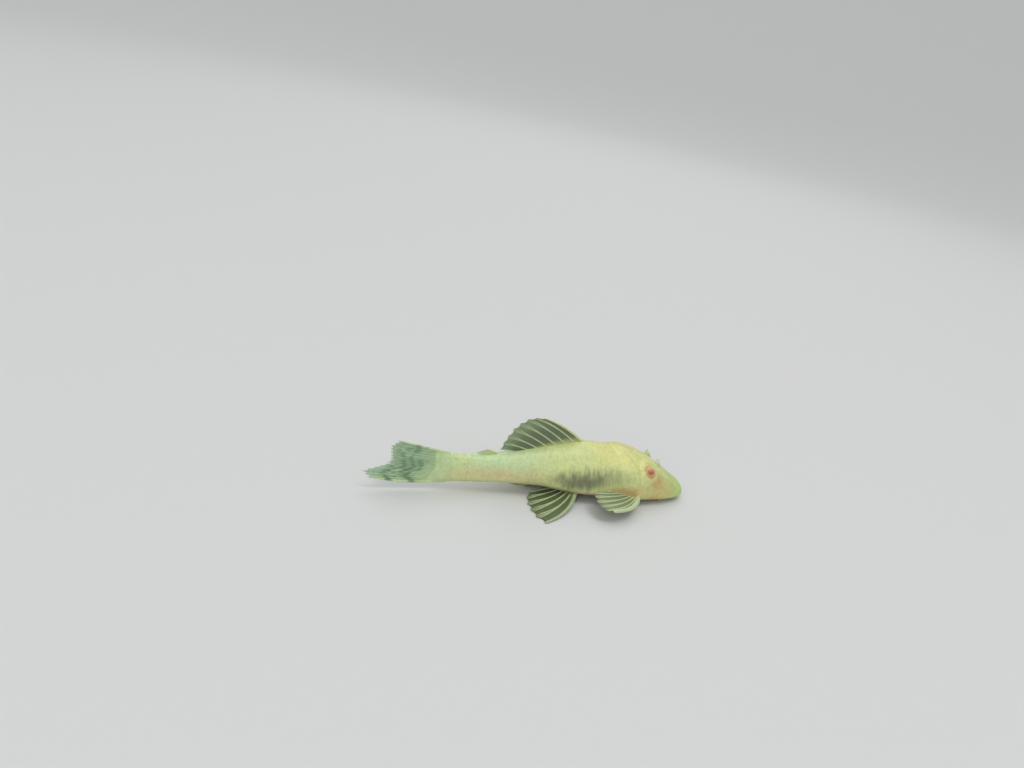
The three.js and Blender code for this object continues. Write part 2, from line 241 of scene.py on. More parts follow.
def shape(s, a):
    """The solids' surface at station s and angle a round the section: (s, y, z) in per cent."""
    s, a = np.broadcast_arrays(np.asarray(s, float), np.asarray(a, float))
    c, w = np.cos(a), np.sin(a)
    n = np.where(w >= 0, full_up(s), full_down(s))
    far = np.where(w >= 0, back(s) - level(s), level(s) - belly(s))
    y = np.sign(c) * np.abs(c) ** (2 / n) * half(s)
    z = level(s) + np.sign(w) * np.abs(w) ** (2 / n) * far
    side = np.where(c < 0, -1.0, 1.0)
    away = np.sqrt((s - EYE["s"]) ** 2 + (np.abs(y) - EYE["y"]) ** 2 + (z - EYE["z"]) ** 2)
    rim = 0.6 * bell(away - 3.9, 1.1)
    y = y + side * rim * 0.55
    z = z + rim * 0.8
    z = z - 1.1 * bell(s - 34.9, 1.7) * np.maximum(0, w) ** 4
    # the scaly root of the tail fin ends in a slanting, hollow curve
    s2 = s - smooth(s, 99, 105.4) * (1.9 * bell(z - 9.1, 3.6) + 0.12 * (z - 8.4))
    return s2, y, z


def surface(s, a):
    """Point (mm) and outward normal of that surface."""
    def at(ss, aa):
        return P(*shape(ss, aa))
    e = 0.02
    p = at(s, a)
    ds = at(np.asarray(s) + e, a) - at(np.maximum(np.asarray(s) - e, SNOUT + 1e-4), a)
    da = at(s, np.asarray(a) + e) - at(s, np.asarray(a) - e)
    n = np.cross(da, ds)
    n /= np.linalg.norm(n, axis=-1, keepdims=True) + 1e-12
    # outward: away from the section's middle
    o = P(np.asarray(s, float), 0.0, level(s))
    flip = np.sum((p - o) * n, -1, keepdims=True) < 0
    return p, np.where(flip, -n, n)


INSET = 0.13  # mm, the depth of the plates over the skin

# the head's bones, by their middles (s, angle in degrees), the same both sides
BONES = [(30.0, 90), (24.0, 76), (18.0, 76), (12.6, 78), (27.5, 57), (32.0, 45), (17.0, 52), (12.5, 48), (19.5, 26),
         (25.8, 24), (30.5, 20), (14.5, 24), (21.5, 5), (27.0, 2), (16.5, 2), (31.8, 2)]
_bs = np.array([b[0] for b in BONES])
_ba = np.radians([b[1] for b in BONES])
_bp = P(*shape(_bs, _ba))
BONE_POINTS = np.concatenate([_bp, _bp * [1, -1, 1]])


def from_eye(p):
    """Distance (mm) of p from the nearer eyeball, measured along its length."""
    q = np.stack([p[..., 0], np.abs(p[..., 1]), p[..., 2]], -1) - P(EYE["s"], EYE["y"], EYE["z"])
    up = np.array([0.0, -0.6, 0.8])
    q = q + up * ((q @ up) * (1 / EYE["tall"] - 1))[..., None]
    return np.linalg.norm(q, axis=-1) - EYE["r"] * U


def seams(p):
    """Distance between the two nearest bones' middles: small at a seam."""
    d = np.linalg.norm(p[..., None, :] - BONE_POINTS, axis=-1)
    d.sort(axis=-1)
    return d[..., 1] - d[..., 0]


def naked(s, a):
    """1 on the soft, plateless rim of the snout and on the belly."""
    w = np.sin(a)
    edge = 7.2 + 5.5 * (1 - np.clip(w, 0, 1)) ** 1.5
    return np.clip(smooth(s, edge + 0.9, edge - 0.9) + smooth(w, -0.35, -0.6) * smooth(s, 66, 58), 0, 1)


NOSTRILS = [(14.9, 4.0, 0.62, 0.5), (17.6, 4.1, 0.55, 0.42)]  # s, y, radius, depth


def relief(s, a, p):
    """Height of the skin's own form over the inset surface, in mm."""
    s, a = np.broadcast_arrays(s, a)
    y, z, w = p[..., 1] / U, p[..., 2] / U, np.sin(a)
    h = np.zeros(s.shape)
    head = smooth(s, 34.5, 33.0) * (1 - naked(s, a)) * smooth(w, -0.25, 0.0)
    h += head * (0.05 - 0.11 * bell(seams(p), 0.42) + 0.02 * smooth(seams(p), 0.3, 1.2))
    for ns, ny, nr, nd in NOSTRILS:
        d = np.hypot(s - ns, np.abs(y) - ny)
        up = smooth(w, 0.3, 0.5)
        h += up * (0.16 * bell(d - nr * 1.5, 0.4) - nd * bell(d, nr))
    # the eye's socket: a fine groove against the ball and a soft lid round it
    d = from_eye(p)
    h += 0.10 * bell(d - 0.30, 0.22) - 0.10 * bell(d, 0.14)
    # the gill slit, low behind the cheek
    gs = 27.6 + 3.4 * smooth(w, -0.9, 0.2)
    h -= 0.32 * bell(s - gs, 0.34) * smooth(w, 0.15, -0.1) * smooth(w, -0.97, -0.8)
    h += 0.14 * bell(s - gs + 0.9, 0.8) * smooth(w, 0.2, -0.1)
    # soft flank over the ribs
    flank = smooth(s, 33, 38) * smooth(s, 62, 54) * bell(z - 4.6, 3.2)
    h += 0.045 * np.sin(s * 2 * np.pi / 2.3 + 0.5 * np.sin(z)) * flank
    # folds of the naked snout and of the belly
    nk = naked(s, a)
    h += nk * 0.05 * (noise(p[..., 0] * 1.4, p[..., 1] * 1.4, p[..., 2] * 1.4, 3) - 0.5)
    h += nk * 0.022 * np.sin(s * 5.2 + 2.5 * noise(p[..., 0], p[..., 1], p[..., 2], 5)) * smooth(s, 14, 10)
    h += 0.02 * (noise(p[..., 0] * 3, p[..., 1] * 3, p[..., 2] * 3, 9) - 0.5)
    return h


# ------------------------------------------------------------------ the markings, the same on skin, plates and spines
def tone(s, a, p):
    s, a = np.broadcast_arrays(s, a)
    y, z, w = p[..., 1] / U, p[..., 2] / U, np.sin(a)
    c = np.broadcast_to(lin((210, 218, 148)), s.shape + (3,)).copy()

    def mix(rgb, k):
        nonlocal c
        k = np.clip(k, 0, 1)[..., None]
        c = c * (1 - k) + lin(rgb) * k
    n1 = noise(p[..., 0] * 0.5, p[..., 1] * 0.5, p[..., 2] * 0.5, 1)
    n2 = noise(p[..., 0] * 1.6, p[..., 1] * 1.6, p[..., 2] * 1.6, 2)
    n3 = noise(s * 0.22, z * 0.25, np.sign(y) * 2.0, 6)
    mix((222, 218, 134), 0.7 * smooth(w, 0.35, 0.95) * smooth(s, 52, 40) * smooth(s, 16, 24))
    mix((198, 224, 172), smooth(s, 56, 80) * smooth(w, -0.15, 0.45) * (0.7 + 0.3 * n1))
    mix((214, 226, 150), 0.5 * smooth(s, 84, 98) * smooth(w, -0.2, 0.4))
    mix((216, 216, 158), 0.85 * smooth(s, 56, 68) * smooth(w, 0.2, -0.3))
    mix((224, 192, 148), (0.20 + 0.40 * n3) * smooth(s, 58, 72) * smooth(s, 100, 90) * bell(w - 0.10, 0.42))
    mix((176, 206, 118), 0.8 * smooth(s, 17.5, 9.5) * smooth(w, -0.5, 0.2))
    mix((168, 188, 108), 0.6 * smooth(s, 7, 3))
    # warm cheek: below and ahead of the eye, down to the pectoral root
    mix((190, 150, 84), 0.80 * bell(s - 19.5, 3.6) * bell(z - 9.0, 2.4) * smooth(np.abs(y), 6.5, 9.5))
    mix((206, 184, 118), 0.65 * bell(s - 18, 8.0) * bell(z - 5.6, 4.0) * smooth(np.abs(y), 7, 10))
    mix((202, 148, 96), 0.60 * bell(s - 21.0, 3.2) * bell(z - 3.4, 1.5) * smooth(np.abs(y), 8, 11))
    mix((192, 150, 92), 0.70 * bell(s - 31, 4.0) * bell(z - 5.6, 1.6) * smooth(np.abs(y), 8, 11))
    # painted highlights: a pale spot on the top of the head behind the eye and a lighter patch on the top of the nape
    mix((236, 230, 160), 0.6 * bell(s - 26.0, 2.4) * bell(z - 14.2, 1.6))
    mix((232, 226, 150), 0.5 * bell(s - 31, 2.6) * smooth(w, 0.8, 1.0))
    # the clear flank, where the dark gut shows through in upright dashes
    mid = np.interp(s, [30, 33, 40, 48, 54, 60, 64], [10.4, 10.6, 11.0, 9.4, 8.6, 8.4, 8.3])
    tall = np.interp(s, [30, 33, 40, 48, 54, 60, 64], [1.4, 2.3, 3.3, 4.0, 3.9, 2.4, 1.2])
    rag = noise(s * 0.9, z * 0.35, np.sign(y) * 3.3, 14)
    off = np.abs(z - mid) / tall + 0.55 * (rag - 0.5)
    band = smooth(off, 1.35, 0.35) * np.interp(s, [29, 33, 40, 46, 55, 60, 64.5], [0, 0.32, 0.62, 0.95, 1, 0.6, 0])
    dash = noise(s * 0.85, z * 0.20, np.sign(y) * 3.1, 11)
    fine = noise(s * 2.0, z * 0.5, np.sign(y) * 5.7, 12)
    streaks = smooth(dash * 0.4 + fine * 0.6, 0.28, 0.70)
    band = band * (1 - 0.55 * smooth(z, mid - 0.6, mid + 2.4) * (1 - streaks))
    mix((140, 145, 106), band * 0.85)
    core = bell(s - 50, 8.0) * bell(z - mid + 0.8, 2.6)
    mix((108, 113, 84), band * 0.75 * core)
    mix((112, 116, 84), band * (0.40 + 0.20 * core) * streaks)
    mix((84, 86, 62), band * 0.35 * smooth(fine, 0.55, 0.85) * smooth(z, 11.5, 8.5))
    mix((176, 132, 78), 0.70 * bell(s - 36, 6.0) * bell(z - 6.6, 1.5) * smooth(np.abs(y), 7.5, 10))
    # grey-pink, half clear lower edge and pale belly
    low = smooth(s, 30, 34) * smooth(s, 68, 60) * smooth(z, 5.4, 3.8)
    mix((178, 170, 146), 0.85 * low)
    mix((196, 160, 140), 0.45 * low * n1)
    mix((210, 196, 158), 0.85 * smooth(w, -0.80, -0.95) * smooth(s, 70, 60))
    mix((206, 164, 142), 0.40 * smooth(w, -0.8, -0.95) * bell(s - 44, 9) * n1)
    # towards the tail fin the skin takes that fin's cool green
    mix((186, 210, 158), 0.75 * smooth(s, 95, 104))
    # bone seams a little warmer, fine mottling all over
    head = smooth(s, 34, 32) * (1 - naked(s, a)) * smooth(w, -0.2, 0.1)
    mix((178, 168, 96), 0.28 * head * bell(seams(p), 0.40))
    mix((184, 186, 112), 0.22 * smooth(n2, 0.55, 0.8))
    # nostril pits darkened with painted shade, a rosy ring round the eye
    for ns, ny, nr, _ in NOSTRILS:
        mix((128, 112, 70), 0.7 * bell(np.hypot(s - ns, np.abs(y) - ny), nr * 0.9) * smooth(w, 0.2, 0.5))
    mix((214, 176, 116), 0.70 * bell(from_eye(p), 0.40))
    return c


# ------------------------------------------------------------------ materials
def material(name, rough=0.45, coat=0.25, sub=0.12, bump=0.00002, grain=2600.0, mottle=0.10, alpha=1.0, fallback=(200, 200, 150), spec=0.5, coat_rough=0.18):
    m = bpy.data.materials.new(name)
    m.use_nodes = True
    nt = m.node_tree
    b = nt.nodes["Principled BSDF"]
    new = nt.nodes.new
    at = new("ShaderNodeAttribute")
    at.attribute_name = "tone"
    tc = new("ShaderNodeTexCoord")
    n = new("ShaderNodeTexNoise")
    n.inputs["Scale"].default_value = grain * 0.35
    n.inputs["Detail"].default_value = 4
    nt.links.new(tc.outputs["Object"], n.inputs["Vector"])
    ramp = new("ShaderNodeMapRange")
    ramp.inputs["From Min"].default_value = 0.3
    ramp.inputs["From Max"].default_value = 0.7
    ramp.inputs["To Min"].default_value = 1 - mottle
    ramp.inputs["To Max"].default_value = 1 + mottle * 0.6
    nt.links.new(n.outputs["Fac"], ramp.inputs["Value"])
    mul = new("ShaderNodeVectorMath")
    mul.operation = "SCALE"
    nt.links.new(at.outputs["Color"], mul.inputs[0])
    nt.links.new(ramp.outputs["Result"], mul.inputs["Scale"])
    nt.links.new(mul.outputs["Vector"], b.inputs["Base Color"])
    v = new("ShaderNodeTexVoronoi")
    v.inputs["Scale"].default_value = grain
    nt.links.new(tc.outputs["Object"], v.inputs["Vector"])
    mixh = new("ShaderNodeMath")
    mixh.operation = "MULTIPLY_ADD"
    mixh.inputs[1].default_value = -0.7
    nt.links.new(v.outputs["Distance"], mixh.inputs[0])
    nt.links.new(n.outputs["Fac"], mixh.inputs[2])
    bp = new("ShaderNodeBump")
    bp.inputs["Strength"].default_value = 0.6
    bp.inputs["Distance"].default_value = bump
    nt.links.new(mixh.outputs["Value"], bp.inputs["Height"])
    nt.links.new(bp.outputs["Normal"], b.inputs["Normal"])
    rr = new("ShaderNodeMapRange")
    rr.inputs["To Min"].default_value = rough - 0.08
    rr.inputs["To Max"].default_value = rough + 0.10
    nt.links.new(n.outputs["Fac"], rr.inputs["Value"])
    nt.links.new(rr.outputs["Result"], b.inputs["Roughness"])
    b.inputs["Specular IOR Level"].default_value = spec
    b.inputs["Coat Weight"].default_value = coat
    b.inputs["Coat Roughness"].default_value = coat_rough
    if sub:
        b.inputs["Subsurface Weight"].default_value = sub
        b.inputs["Subsurface Radius"].default_value = (1.0, 0.55, 0.3)
        b.inputs["Subsurface Scale"].default_value = 0.0009
    b.inputs["Alpha"].default_value = alpha
    return m


SKIN = material("skin", rough=0.46, coat=0.14, sub=0.20, bump=0.000022, grain=3200, coat_rough=0.26)
PLATE = material("plates", rough=0.50, coat=0.10, sub=0.14, bump=0.000016, grain=4200, coat_rough=0.3)
SPINE = material("spines", rough=0.30, coat=0.3, sub=0.0, bump=0.000004, grain=6000)
RAY = material("rays", rough=0.40, coat=0.25, sub=0.10, bump=0.00001, grain=5000)
WEB = material("web", rough=0.34, coat=0.35, sub=0.0, bump=0.000012, grain=3000, mottle=0.14, alpha=0.84)
FLAP = material("flap", rough=0.3, coat=0.4, sub=0.2, bump=0.000006, grain=3000, alpha=0.92)
LIP = material("lip", rough=0.38, coat=0.35, sub=0.25, bump=0.00002, grain=3800)
BALL = material("eye", rough=0.36, coat=0.25, sub=0.0, bump=0.0, grain=5000, mottle=0.05, coat_rough=0.10, spec=0.3)


# ------------------------------------------------------------------ the skin: one mesh for head, trunk and tail
NS, NA = 430, 212


def body_skin():
    t = np.linspace(0, 1, NS)
    s = SNOUT + 0.006 + (105.4 - SNOUT - 0.006) * (0.30 * t + 0.70 * t ** 1.75)
    a = np.arange(NA) / NA * 2 * np.pi
    S, A = np.meshgrid(s, a, indexing="ij")
    p, n = surface(S, A)
    h = relief(S, A, p)
    fore = smooth(S, SNOUT, SNOUT + 2.0)
    thin = smooth(S, 104, 100)
    V = p + n * ((h * fore - 0.05 - (INSET - 0.05) * fore) * thin)[..., None]
    V[..., 2] = np.maximum(V[..., 2], 0.012 + 0.02 * noise(p[..., 0], p[..., 1], 0, 4))
    C = tone(S, A, p)
    V, C = V.reshape(-1, 3), C.reshape(-1, 3)
    tip = V[:NA].mean(0, keepdims=True) + [[0.004, 0, 0]]
    k = np.arange(NA)
    tris = np.stack([np.full(NA, len(V)), k, (k + 1) % NA], -1)
    end = [((NS - 1) * NA + k)[::-1].tolist()]
    V = np.concatenate([V, tip])
    C = np.concatenate([C, C[:1]])
    add_mesh("skin", V, quads=grid_quads(NS, NA, wrap=True), tris=tris, polys=end, material=SKIN, tone=C,
             slot="skin", nodes=("head", "trunk", "tail"))
body_skin()


# ------------------------------------------------------------------ bony plates: five rows a side, tip over root
def unwrap(s, a):
    return np.stack([0.03 + 0.94 * np.asarray(s) / 110, 0.03 + 0.94 * ((np.asarray(a) / (2 * np.pi)) % 1.0)], -1)


def rows_at(s):
    """The rows' edges as angles, from the ridge down, at station s."""
    low = -38 - 50 * smooth(s, 57, 70)
    return [np.full(np.shape(s), 90.0), np.full(np.shape(s), 66.0), np.full(np.shape(s), 40.0),
            np.full(np.shape(s), 12.0), np.full(np.shape(s), -16.0), low]


PLATE_STEP = 2.72


def plates():
    nu, nv = 11, 13
    u, v = np.meshgrid(np.linspace(0, 1, nu), np.linspace(-1, 1, nv), indexing="ij")
    border = np.concatenate([np.arange(nv), np.arange(1, nu) * nv + nv - 1,
                             (nu - 1) * nv + np.arange(nv - 2, -1, -1), np.arange(nu - 2, 0, -1) * nv])
    coats = {1: Pile(), -1: Pile()}
    points = {1: Pile(), -1: Pile()}
    for row in range(5):
        for k in range(25):
            s0 = 33.6 + PLATE_STEP * (k + 0.5 * (row % 2)) + (0.8 if row == 4 else 0.0)
            if s0 + PLATE_STEP > 101.0 or (k == 0 and row < 2):
                continue
            tooth = 0.05 * np.abs(np.sin(v * 9 * np.pi / 2)) * (u > 0.99)
            s = s0 + PLATE_STEP * (-0.1 + u * (1.10 + 0.26 * (1 - np.abs(v) ** 1.6) + tooth))
            edges = rows_at(s)
            hi, lo = edges[row], edges[row + 1]
            # a plate's front is narrower than its back
            ang = np.radians((hi + lo) / 2 + (v * (0.93 + 0.09 * u)) * (hi - lo) / 2)
            wide = 1 - 0.25 * (k == 0)
            h = -0.04 + 0.070 * u ** 1.3 * wide + 0.024 * bell(v, 0.26) * u - 0.035 * np.abs(v) ** 5 - 0.05 * smooth(u, 0.84, 1.0) - 0.05 * smooth(u, 0.24, 0.0)
            for side in (1, -1):
                aa = ang if side > 0 else np.pi - ang
                p, n = surface(s, aa)
                c = tone(s, aa, p)
                # painted shade darkens each plate's front, where it lies under the plate ahead, and a painted highlight
                # lightens its hind edge
                c = c * (1 - 0.03 * (1 - smooth(u, 0.0, 0.28)))[..., None]
                edge = smooth(u, 0.84, 1.0)[..., None]
                c = c * (1 + 0.07 * edge)
                top = (p + n * (h - INSET)[..., None]).reshape(-1, 3)
                foot = (p + n * (-0.13 - INSET)).reshape(-1, 3)[border]
                V = np.concatenate([top, foot])
                V[:, 2] = np.maximum(V[:, 2], 0.03)
                m = len(border)
                b0, b1 = border, np.roll(border, -1)
                f0 = nu * nv + np.arange(m)
                f1 = nu * nv + (np.arange(m) + 1) % m
                skirt = np.stack([b0, f0, f1, b1], -1)
                q = np.concatenate([grid_quads(nu, nv), skirt])
                # the skirts at the plates' steps are painted 4 per cent lighter, painted light against the shade there
                cc = np.concatenate([c.reshape(-1, 3), c.reshape(-1, 3)[border] * 1.04])
                root = unwrap(s0 + PLATE_STEP / 2, aa[nu // 2, nv // 2])
                uv = root + 0.0015 * np.concatenate([np.stack([u, v / 2], -1).reshape(-1, 2), np.stack([u, v / 2], -1).reshape(-1, 2)[border]])
                if side < 0:
                    q = q[:, ::-1]
                bottom = f0.tolist() if side < 0 else f0[::-1].tolist()
                coats[side].add(V, quads=q, tone=cc, uv=uv, polys=[bottom])
                # little spines in rows along the plate, longest on its keel and hind edge
                uu, vv = np.meshgrid(np.linspace(0.3, 0.97, 6), np.linspace(-0.84, 0.84, 7), indexing="ij")
                uu = uu.ravel() + RNG.uniform(-0.04, 0.04, uu.size)
                vv = vv.ravel() + RNG.uniform(-0.05, 0.05, vv.size)
                ss = s0 + PLATE_STEP * (-0.1 + uu * (1.10 + 0.26 * (1 - np.abs(vv) ** 1.6)))
                e2 = rows_at(ss)
                a2 = np.radians((e2[row] + e2[row + 1]) / 2 + vv * (e2[row] - e2[row + 1]) / 2)
                a2 = a2 if side > 0 else np.pi - a2
                hh = -0.04 + 0.070 * uu ** 1.3 * wide + 0.024 * bell(vv, 0.26) * uu - 0.035 * np.abs(vv) ** 5
                spines(points[side], ss, a2, hh - INSET, 0.10 + 0.07 * bell(vv, 0.3) * uu + 0.05 * (uu > 0.85), 0.030)
    for side, tag in ((1, "l"), (-1, "r")):
        coats[side].make("plates_" + tag, material=PLATE, slot="skin")
        points[side].make("plate_spines_" + tag, material=SPINE, slot="skin")


def spines(pile, s, a, h, length, radius, lift=0.35, tint=(240, 232, 184), mixin=0.55):
    """Small backward-leaning spines on the surface at (s, a), h mm above it."""
    s, a = np.atleast_1d(s), np.atleast_1d(a)
    p, n = surface(s, a)
    c = tone(s, a, p)
    c = c * (1 - mixin) + lin(tint) * mixin * np.clip(c.mean(-1, keepdims=True) / 0.5, 0.45, 1)
    p = p + n * (np.broadcast_to(h, s.shape) - 0.012)[:, None]
    backw = np.array([-1.0, 0, 0]) - n * (-n[:, :1])
    backw /= np.linalg.norm(backw, axis=1, keepdims=True) + 1e-9
    d = backw * (1 - lift) + n * lift
    d /= np.linalg.norm(d, axis=1, keepdims=True)
    side = np.cross(d, n)
    side /= np.linalg.norm(side, axis=1, keepdims=True) + 1e-9
    up = np.cross(side, d)
    L = np.broadcast_to(length, s.shape)[:, None]
    r = np.broadcast_to(radius, s.shape)[:, None]
    ring = [p + (side * math.cos(k) + up * math.sin(k)) * r for k in (0.0, 2.0944, 4.1888)]
    V = np.stack(ring + [p + d * L], 1).reshape(-1, 3)
    V[:, 2] = np.maximum(V[:, 2], 0.01)
    base = np.arange(len(s))[:, None, None] * 4
    T = (base + np.array([[0, 1, 3], [1, 2, 3], [2, 0, 3], [2, 1, 0]])).reshape(-1, 3)
    root = unwrap(s, a)
    uv = (root[:, None] + np.array([[0, 0], [0.0015, 0], [0, 0.0015], [0.0015, 0.0015]])).reshape(-1, 2)
    pile.add(V, tris=T, tone=np.repeat(c, 4, 0), uv=uv)


plates()


def head_spines():
    pile = Pile()
    n = 9000
    s = RNG.uniform(8, 34.2, n)
    a = np.radians(RNG.uniform(-12, 192, n))
    p, _ = surface(s, a)
    d = from_eye(p) / U
    nose = np.minimum(*[np.hypot(s - q[0], np.abs(p[:, 1] / U) - q[1]) for q in NOSTRILS])
    keep = (naked(s, a) < 0.3) & (d > 0.35) & (seams(p) > 0.28) & (nose > 1.3)
    s, a, p = s[keep], a[keep], p[keep]
    spines(pile, s, a, relief(s, a, p) - INSET, RNG.uniform(0.08, 0.14, len(s)), 0.028)
    pile.make("head_spines", material=SPINE, slot="skin")
    # the movable cheek spines, folded back against the gill cover
    pile = Pile()
    for side in (1, -1):
        for k in range(16):
            s0 = 26.6 + 0.30 * (k % 5) + RNG.uniform(-0.1, 0.1)
            ang = 2 + 5.2 * (k // 5) + RNG.uniform(-1, 1)
            aa = math.radians(ang) if side > 0 else math.pi - math.radians(ang)
            p, n = surface(np.array([s0]), np.array([aa]))
            L = 0.7 + 0.9 * RNG.random()
            t = np.linspace(0, 1, 9)[:, None]
            d = np.array([-1.0, 0.10 * side, -0.10 + 0.10 * (k // 5)])
            pts = p - n * 0.2 + d * L * t + n * (0.10 + 0.28 * t - 0.30 * t * t)
            V, q, caps = tube(pts, 0.075 * (1 - t[:, 0]) ** 0.7 + 0.008, 6, n[0])
            c = lin((222, 204, 146)) * (1 - t) + lin((236, 226, 176)) * t
            pile.add(V, quads=q, tone=np.repeat(c, 6, 0), uv=unwrap(s0, aa) + np.zeros((len(V), 2)), polys=caps)
    pile.make("cheek_spines", material=SPINE, slot="skin")


head_spines()


# ------------------------------------------------------------------ eyes
LID = {"r": 0.0, "l": 0.0}


def eyes():
    for tag, side in SIDES.items():
        c = P(EYE["s"], side * EYE["y"], EYE["z"])
        axis = np.array([-0.04, 0.80 * side, 0.60])
        axis /= np.linalg.norm(axis)
        e1 = np.cross(axis, [1.0, 0, 0])
        e1 /= np.linalg.norm(e1)
        e2 = np.cross(axis, e1)
        up = np.array([0, 0, 1.0]) - axis * axis[2]
        LID[tag] = math.atan2(up @ e2, up @ e1)
        nt, na = 60, 72
        th = np.linspace(0, np.pi, nt)[:, None]
        ph = (np.arange(na) / na * 2 * np.pi)[None, :]
        R = EYE["r"] * U * 0.985
        # the ball is flatter in front than behind
        flat = np.where(th < np.pi / 2, 0.90, 1.0)
        dirs = axis * (np.cos(th) * flat)[..., None] + (e1 * np.cos(ph)[..., None] + e2 * np.sin(ph)[..., None]) * np.sin(th)[..., None]
        V = c + dirs * R
        tall = np.array([0.0, -0.6 * side, 0.8])
        V = V + tall * (((V - c) @ tall) * (EYE["tall"] - 1))[..., None]
        deg = np.degrees(th) + 0 * ph
        wob = noise(np.cos(ph) * 2 + 5, np.sin(ph) * 2 + 5, 0.5, 21)
        rays = noise(ph * 14 / np.pi, deg / 30, 1.5, 22)
        col = np.broadcast_to(lin((198, 160, 112)), deg.shape + (3,)).copy()

        def mix(rgb, k):
            nonlocal col
            k = np.clip(k, 0, 1)[..., None]
            col = col * (1 - k) + lin(rgb) * k
        # a pale lid of iris hangs into the pupil from above and leaves it horseshoe-shaped
        lid = bell(((ph - LID[tag] + np.pi) % (2 * np.pi)) - np.pi, 0.62) * smooth(deg, 3, 9)
        pup = 27 + 1.5 * wob
        mix((222, 172, 122), 0.6 * smooth(rays, 0.4, 0.8) * smooth(deg, 28, 38))
        mix((214, 184, 134), 0.70 * bell(deg - 47, 8))
        mix((196, 138, 96), 0.45 * bell(deg - 60, 5))
        mix((184, 120, 80), smooth(deg, pup + 6, pup - 3))
        mix((164, 92, 62), 0.75 * smooth(deg, pup - 3, pup - 16) * (1 - 0.8 * lid))
        mix((214, 146, 108), 0.75 * lid * smooth(deg, pup + 2, pup - 3))
        mix((190, 146, 98), 0.8 * smooth(deg, 62, 76))
        V = V.reshape(-1, 3)
        add_mesh("eyeball_" + tag, V, quads=grid_quads(nt, na, wrap=True, flip=True), material=BALL, tone=col.reshape(-1, 3),
                 slot="eye", nodes=("eye_" + tag,))


eyes()


# ------------------------------------------------------------------ nostril flaps: a thin leaf of skin across each nostril
def flaps():
    pile = Pile()
    nu, nv = 24, 17
    for side in (1, -1):
        s0, y0 = 16.2, 4.0
        z0 = float(back(s0)) - 2.2
        u, v = np.meshgrid(np.linspace(0, 1, nu), np.linspace(-1, 1, nv), indexing="ij")
        # a leaf set aslant between the two openings, its tip drawn up at the hind corner
        width = 1.95 * (1 - 0.80 * u ** 2.4) * (1 + 0.05 * np.sin(u * 9))
        along = width * v + 0.55 * u
        high = 4.5 * u * (1 - 0.10 * np.abs(v) ** 2)
        s = s0 - 0.15 + along * 0.80 + 0.35 * u ** 2
        y = side * (y0 + along * 0.12 + 0.30 * (1 - v * v) * np.sin(u * np.pi))
        z = z0 + high + 0.10 * np.sin(v * 6 + 1) * u
        mid = P(s, y, z)
        nrm = np.array([0.15, side * 0.98, 0.1])
        nrm /= np.linalg.norm(nrm)
        th = (0.20 * (1 - 0.6 * u) * (1 - 0.75 * v * v))[..., None]
        V = np.concatenate([(mid + nrm * th).reshape(-1, 3), (mid - nrm * th).reshape(-1, 3)])
        n = nu * nv
        border = np.concatenate([np.arange(nv), np.arange(1, nu) * nv + nv - 1, (nu - 1) * nv + np.arange(nv - 2, -1, -1), np.arange(nu - 2, 0, -1) * nv])
        b1 = np.roll(border, -1)
        q = np.concatenate([grid_quads(nu, nv), grid_quads(nu, nv, flip=True) + n, np.stack([border, border + n, b1 + n, b1], -1)])
        k = smooth(u, 0.35, 0.75)[..., None]
        c = lin((206, 214, 150)) * (1 - k) + lin((222, 238, 214)) * k
        c = np.concatenate([c.reshape(-1, 3)] * 2)
        pile.add(V, quads=q if side > 0 else q[:, ::-1], tone=c)
    pile.make("nostril_flaps", material=FLAP, slot="skin")


flaps()


# ------------------------------------------------------------------ mouth: the sucker disc with its warts, teeth and barbels
MOUTH = 10.6


